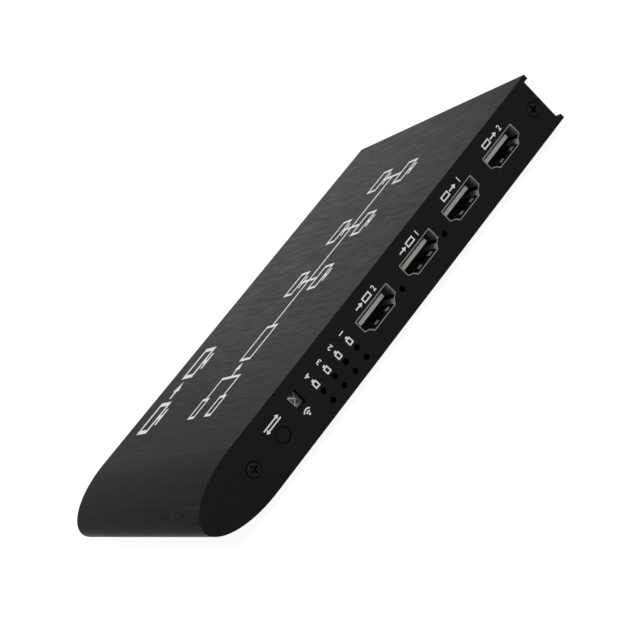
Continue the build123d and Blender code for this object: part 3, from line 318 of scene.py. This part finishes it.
# One finish for each material slot of the record, with what it gives the eye
FINISHES = {
    "case_aluminium": brushed_case(),
    "plate_black": blasted_plate(),
    # Steel, black zinc: as dark as the plate, and glossier
    "screw_black": grained("black_zinc_steel", "#151617", "#232425",
                           grain_mm=0.4, relief_mm=0.004, roughness=0.38, metallic=1.0),
    # Nitrile rubber, moulded: dull, nearly black
    "foot_rubber": grained("nitrile_rubber_moulded", "#141414", "#1d1d1d",
                           grain_mm=0.4, relief_mm=0.02, roughness=0.8, specular=0.3),
    "board_mask": board_mask(),
    # Polyester film, satin: a thin black sheet with a soft gloss
    "film_plastic": grained("polyester_film_satin", "#101112", "#17181a",
                            grain_mm=1.5, relief_mm=0.002, roughness=0.4, specular=0.4),
    "plated_steel": stamped_steel(),
    "tongue_plastic": moulded_tongue(),
    # Phosphor bronze, gold-plated thinly: small glints of a pale, greyish yellow
    "contact_gold": grained("gold_plated_bronze", "#a59a80", "#b8ad94",
                            grain_mm=0.3, relief_mm=0.001, roughness=0.35, metallic=1.0),
    # Polyester, moulded black: even, with a low gloss
    "jack_plastic": grained("polyester_moulded_black", "#121314", "#191a1b",
                            grain_mm=0.3, relief_mm=0.006, roughness=0.5, specular=0.35),
    # ABS, moulded with a fine spark-eroded skin: black and satin
    "button_plastic": grained("abs_moulded_black", "#101112", "#161718",
                              grain_mm=0.2, relief_mm=0.004, roughness=0.5, specular=0.08),
    # Epoxy lens, tinted smoke: black while it is off
    "lamp_resin": grained("epoxy_cast_smoke", "#0b0b0c", "#121213",
                          grain_mm=0.8, relief_mm=0.001, roughness=0.2, specular=0.2),
    # Epoxy that lets only infrared through: a smoky grey with a trace of violet, slightly glossy
    "receiver_resin": grained("epoxy_moulded_infrared", "#77757b", "#858389",
                              grain_mm=0.6, relief_mm=0.001, roughness=0.3),
    # Epoxy moulding compound: a dull charcoal with a fine speckle
    "chip_resin": grained("epoxy_compound_moulded", "#1c1c1d", "#2a2a2b",
                          grain_mm=0.15, relief_mm=0.006, roughness=0.6),
    # Aluminium, extruded and bead-blasted: pale grey
    "sink_aluminium": grained("aluminium_extruded_blasted", "#8e9093", "#a4a6a9",
                              grain_mm=0.3, relief_mm=0.008, roughness=0.45, metallic=1.0),
    # Silicone pad, calendered: soft blue-grey
    "pad_silicone": grained("silicone_pad_calendered", "#6f7f8c", "#7d8d9a",
                            grain_mm=0.6, relief_mm=0.01, roughness=0.75),
    # Steel can, nickel-plated and drawn: smooth and bright
    "crystal_steel": grained("nickel_plated_steel_drawn", "#9a9a98", "#b0b0ad",
                             grain_mm=2.0, relief_mm=0.002, roughness=0.22, metallic=1.0),
    # Ferrite, pressed and sintered: dark, dull and slightly brown
    "ferrite": grained("ferrite_sintered", "#252322", "#312f2d",
                       grain_mm=0.2, relief_mm=0.012, roughness=0.7),
    # Aluminium can, drawn: bright silver
    "can_aluminium": grained("aluminium_can_drawn", "#a5a7a9", "#bbbdbf",
                             grain_mm=1.5, relief_mm=0.002, roughness=0.3, metallic=1.0),
}

# Pieces whose finish differs from the rest of their slot: the receiver's shield, rolled and
# tin-plated, is paler and more matt than the stamped steel
NODE_FINISHES = {
    "ir_shield": grained("tin_plated_steel_rolled", "#a3a3a0", "#b3b3b0",
                         grain_mm=0.4, relief_mm=0.004, roughness=0.45, metallic=1.0),
}

# Epoxy ink, screen-printed: a flat opaque white, with a faint unevenness from the mesh
INK = grained("epoxy_ink_printed", "#dfe1e2", "#f2f3f4", grain_mm=0.25, relief_mm=0.002, roughness=0.6)


def dress_nodes():
    """Give each sub-part of the model the finish of its slot."""
    for subpart in frame["record"]["subparts"]:
        piece = nodes[subpart["node"]]
        finish = NODE_FINISHES.get(subpart["node"], FINISHES[subpart["material_slot"]])
        piece.data.materials.clear()
        piece.data.materials.append(finish)


def bar(left, low, right, high):
    """A filled rectangle."""
    return [[(left, low), (right, low), (right, high), (left, high)]]


def outline(left, low, right, high, line):
    """A rectangle drawn with a line."""
    shapes = bar(left, low, right, low + line) + bar(left, high - line, right, high)
    shapes += bar(left, low + line, left + line, high - line)
    return shapes + bar(right - line, low + line, right, high - line)


def arrow(left, right, level, line, head):
    """An arrow to the right, or to the left if its ends are given the other way round."""
    way = math.copysign(1, right - left)
    neck = right - way * head
    spread = head * HEAD_SPREAD
    shaft = bar(min(left, neck), level - line / 2, max(left, neck), level + line / 2)
    return shaft + [[(neck, level - spread), (right, level), (neck, level + spread)]]


def arc(centre, radius, line, start, end):
    """Part of a ring, from one angle to another in degrees."""
    steps = 12
    angles = [math.radians(start + (end - start) * step / steps) for step in range(steps + 1)]
    corners = []
    for edge, turns in ((radius + line / 2, angles), (radius - line / 2, angles[::-1])):
        for turn in turns:
            corners.append((centre[0] + edge * math.cos(turn), centre[1] + edge * math.sin(turn)))
    return [corners]


def screen(left, low, width, height, line):
    """A display on its foot."""
    shapes = outline(left, low + 2 * line, left + width, low + height, line)
    middle = left + width / 2
    foot_half = width / 4
    shapes += bar(middle - line / 2, low + line, middle + line / 2, low + 2 * line)
    return shapes + bar(middle - foot_half, low, middle + foot_half, low + line)


def lay_print(piece, place, across, up):
    """Lay a flat print, drawn across and up, on the case at a place, and let it move with the case."""
    turn = Matrix((across, up, across.cross(up))).transposed().to_4x4()
    bpy.context.collection.objects.link(piece)
    piece.matrix_world = Matrix.Translation(place) @ turn
    piece.data.materials.append(INK)
    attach(piece, "case")


def ink_shapes(name, shapes, place, across, up):
    """Print filled shapes, each a closed outline of points across and up from the place."""
    mesh = bpy.data.meshes.new(name)
    corners, faces = [], []
    for shape in shapes:
        first, count = len(corners), len(shape)
        for level in (0.0, INK_THICKNESS):
            corners += [(x, y, level) for x, y in shape]
        faces.append([first + count + step for step in range(count)])
        faces.append([first + step for step in reversed(range(count))])
        for step in range(count):
            after = (step + 1) % count
            faces.append([first + step, first + after, first + count + after, first + count + step])
    mesh.from_pydata(corners, [], faces)
    mesh.validate()
    lay_print(bpy.data.objects.new(name, mesh), place, across, up)


def ink_number(name, number, offset, place, across, up):
    """Print a plain number, whose middle is offset across from the place."""
    text = bpy.data.curves.new(name, "FONT")
    text.body = str(number)
    text.size = MARK_HEIGHT * TEXT_PER_DIGIT
    text.offset = DIGIT_BOLDER
    text.extrude = INK_THICKNESS / 2
    text.align_x = "CENTER"
    text.align_y = "CENTER"
    lay_print(bpy.data.objects.new(name, text), Vector(place) + offset * across, across, up)


RIGHT, REARWARD, UPWARD = Vector((1, 0, 0)), Vector((0, 1, 0)), Vector((0, 0, 1))
FRONT_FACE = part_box("front_plate")[0].y
BODY_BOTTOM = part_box("housing_sleeve")[0].z
BODY_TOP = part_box("housing_sleeve")[1].z


def middle_x(node):
    """The middle of a node in X."""
    low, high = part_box(node)
    return (low.x + high.x) / 2


def print_socket_marks():
    """An arrow into a box or out of one, and a number, above each video socket."""
    height = BODY_BOTTOM + 13.5 * MM
    left = -4.6 * MM
    box_width, arrow_length, arrow_head = 3.2 * MM, 2.9 * MM, 1.2 * MM
    number_offset = 3.6 * MM
    for kind in ("in", "out"):
        arrow_left = left if kind == "in" else left + box_width + LINE
        box_left = left + arrow_length + LINE if kind == "in" else left
        marks = arrow(arrow_left, arrow_left + arrow_length, 0, LINE, arrow_head)
        marks += outline(box_left, -MARK_HALF, box_left + box_width, MARK_HALF, LINE)
        for number in (1, 2):
            socket = f"video_{kind}_{number}"
            place = (middle_x(socket + "_shell"), FRONT_FACE, height)
            ink_shapes(socket + "_mark", marks, place, RIGHT, UPWARD)
            ink_number(socket + "_number", number, number_offset, place, RIGHT, UPWARD)


def print_link_marks():
    """A small network jack and a number above each pair of link lamps, read upwards."""
    low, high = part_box("link_lamps")
    count = 4
    lamp_half = 0.95 * MM
    pitch = (high.x - low.x - 2 * lamp_half) / (count - 1)
    shift = -0.2 * MM
    height = BODY_BOTTOM + 11.25 * MM
    jack_left, jack_right, latch_half = -2.6 * MM, -0.6 * MM, 0.4 * MM
    number_offset = 1.6 * MM
    marks = outline(jack_left, -MARK_HALF, jack_right, MARK_HALF, LINE)
    marks += bar(jack_right, -latch_half, 0, latch_half)
    for step in range(count):
        place = (low.x + lamp_half + pitch * step + shift, FRONT_FACE, height)
        name = f"link_{count - step}"
        ink_shapes(name + "_mark", marks, place, UPWARD, -RIGHT)
        ink_number(name + "_number", count - step, number_offset, place, UPWARD, -RIGHT)


def print_window_mark():
    """Waves that run towards the receiver's window."""
    shift, height = -1.0 * MM, BODY_BOTTOM + 5.85 * MM
    centre, dot_half = (0, 0.2 * MM), 0.3 * MM
    wave_pitch, start, end = 0.8 * MM, 40, 140
    marks = bar(-dot_half, centre[1] - dot_half, dot_half, centre[1] + dot_half)
    for wave in (1, 2):
        marks += arc(centre, wave * wave_pitch, LINE, start, end)
    place = (middle_x("ir_shield") + shift, FRONT_FACE, height)
    ink_shapes("window_mark", marks, place, RIGHT, UPWARD)


def print_button_mark():
    """Two arrows that change places, above the button."""
    height = BODY_BOTTOM + 12.3 * MM
    half, level, head = 3.1 * MM, 0.5 * MM, 1.1 * MM
    marks = arrow(-half, half, level, LINE, head) + arrow(half, -half, -level, LINE, head)
    ink_shapes("button_mark", marks, (middle_x("switch_cap"), FRONT_FACE, height), RIGHT, UPWARD)


def print_top_screens():
    """A bold screen, arrow and screen, near the rear of the top."""
    line = 1.6 * MM
    width, height = 13 * MM, 12 * MM
    inner = 5 * MM
    arrow_reach, arrow_head = 3.5 * MM, 4 * MM
    place = (-31 * MM, 30 * MM, BODY_TOP)
    marks = screen(-inner - width, 0, width, height, line) + screen(inner, 0, width, height, line)
    marks += arrow(-arrow_reach, arrow_reach, height / 2 + line, line, arrow_head)
    ink_shapes("top_screens", marks, place, RIGHT, REARWARD)


def print_top_plan():
    """A line plan on the top: two sources lead into a box, which feeds six screens along a line."""
    line = 1.0 * MM
    place = (0, -6 * MM, BODY_TOP)
    box_left, box_right, box_half = -24 * MM, -10 * MM, 4 * MM
    join = -31 * MM
    arrow_gap, arrow_head = 0.6 * MM, 3 * MM
    source_left, source_right = -46 * MM, -38 * MM
    source_away, source_half = 6.5 * MM, 2.5 * MM
    screen_middles = (8 * MM, 30 * MM, 52 * MM)
    screen_width, screen_height = 10 * MM, 8 * MM
    upper_foot, lower_top = 3.5 * MM, -5 * MM

    plan = outline(box_left, -box_half, box_right, box_half, line)
    plan += bar(box_right, -line / 2, screen_middles[-1] + line / 2, line / 2)
    plan += bar(join, -source_away - line / 2, join + line, source_away + line / 2)
    plan += arrow(join + line, box_left - arrow_gap, 0, line, arrow_head)
    for y in (-source_away, source_away):
        plan += outline(source_left, y - source_half, source_right, y + source_half, line)
        plan += bar(source_right, y - line / 2, join, y + line / 2)
    for x in screen_middles:
        left = x - screen_width / 2
        plan += screen(left, upper_foot, screen_width, screen_height, line)
        plan += bar(x - line / 2, line / 2, x + line / 2, upper_foot)
        plan += screen(left, lower_top - screen_height, screen_width, screen_height, line)
        plan += bar(x - line / 2, lower_top, x + line / 2, -line / 2)
    ink_shapes("top_plan", plan, place, RIGHT, REARWARD)


def set_camera():
    """The camera, leaning to the right as in the picture."""
    data = bpy.data.cameras.new("camera")
    data.lens = CAMERA_LENS
    data.sensor_width = CAMERA_SENSOR
    camera = bpy.data.objects.new("camera", data)
    place = Vector(CAMERA_PLACE)
    aim = (Vector(CAMERA_TARGET) - place).to_track_quat("-Z", "Y")
    lean = Quaternion((0, 0, 1), math.radians(CAMERA_LEAN))
    camera.matrix_world = Matrix.Translation(place) @ (aim @ lean).to_matrix().to_4x4()
    bpy.context.collection.objects.link(camera)
    bpy.context.scene.camera = camera


def seen_directly(tree):
    """1 for what the camera sees, or sees in metal or through glass, and 0 for plain light."""
    path = add_node(tree, "LightPath").outputs
    seen = path["Is Camera Ray"]
    for ray in ("Is Glossy Ray", "Is Transmission Ray"):
        seen = add_node(tree, "Math", {0: seen, 1: path[ray]}, operation="MAXIMUM").outputs[0]
    return seen


def set_room():
    """A room that lights the case softly and looks white."""
    world = bpy.data.worlds.new("room")
    world.use_nodes = True
    tree = world.node_tree
    tree.nodes.clear()
    white = linear("#ffffff")
    light = add_node(tree, "Background", {"Color": white, "Strength": ROOM_LIGHT}).outputs[0]
    backdrop = add_node(tree, "Background", {"Color": white, "Strength": 1.0}).outputs[0]
    mix = add_node(tree, "MixShader", {0: seen_directly(tree), 1: light, 2: backdrop})
    add_node(tree, "OutputWorld", {"Surface": mix.outputs[0]})
    bpy.context.scene.world = world


def set_floor():
    """A pale floor that looks white, apart from a faint shadow of the case."""
    material, tree = new_material("floor_paint_white")
    paint = add_node(tree, "BsdfDiffuse", {"Color": linear(FLOOR_PAINT)}).outputs[0]
    glow = add_node(tree, "Emission", {"Color": linear("#ffffff"), "Strength": FLOOR_GLOW}).outputs[0]
    share = add_node(tree, "Math", {0: seen_directly(tree), 1: FLOOR_WHITE}, operation="MULTIPLY")
    mix = add_node(tree, "MixShader", {0: share.outputs[0], 1: paint, 2: glow})
    add_node(tree, "OutputMaterial", {"Surface": mix.outputs[0]})
    half = FLOOR_SIZE / 2
    corners = [(-half, -half, 0), (half, -half, 0), (half, half, 0), (-half, half, 0)]
    mesh = bpy.data.meshes.new("floor")
    mesh.from_pydata(corners, [], [range(len(corners))])
    mesh.materials.append(material)
    floor = bpy.data.objects.new("floor", mesh)
    bpy.context.collection.objects.link(floor)


def set_lamps():
    """Two soft square lamps that face the case."""
    for name, (place, size, power) in {"front_lamp": FRONT_LAMP, "rear_lamp": REAR_LAMP}.items():
        data = bpy.data.lights.new(name, "AREA")
        data.size = size
        data.energy = power
        lamp = bpy.data.objects.new(name, data)
        turn = (-Vector(place)).to_track_quat("-Z", "Y").to_matrix().to_4x4()
        lamp.matrix_world = Matrix.Translation(place) @ turn
        bpy.context.collection.objects.link(lamp)


bpy.context.scene.view_settings.view_transform = "Standard"
dress_nodes()
print_socket_marks()
print_link_marks()
print_window_mark()
print_button_mark()
print_top_screens()
print_top_plan()
set_camera()
set_room()
set_floor()
set_lamps()
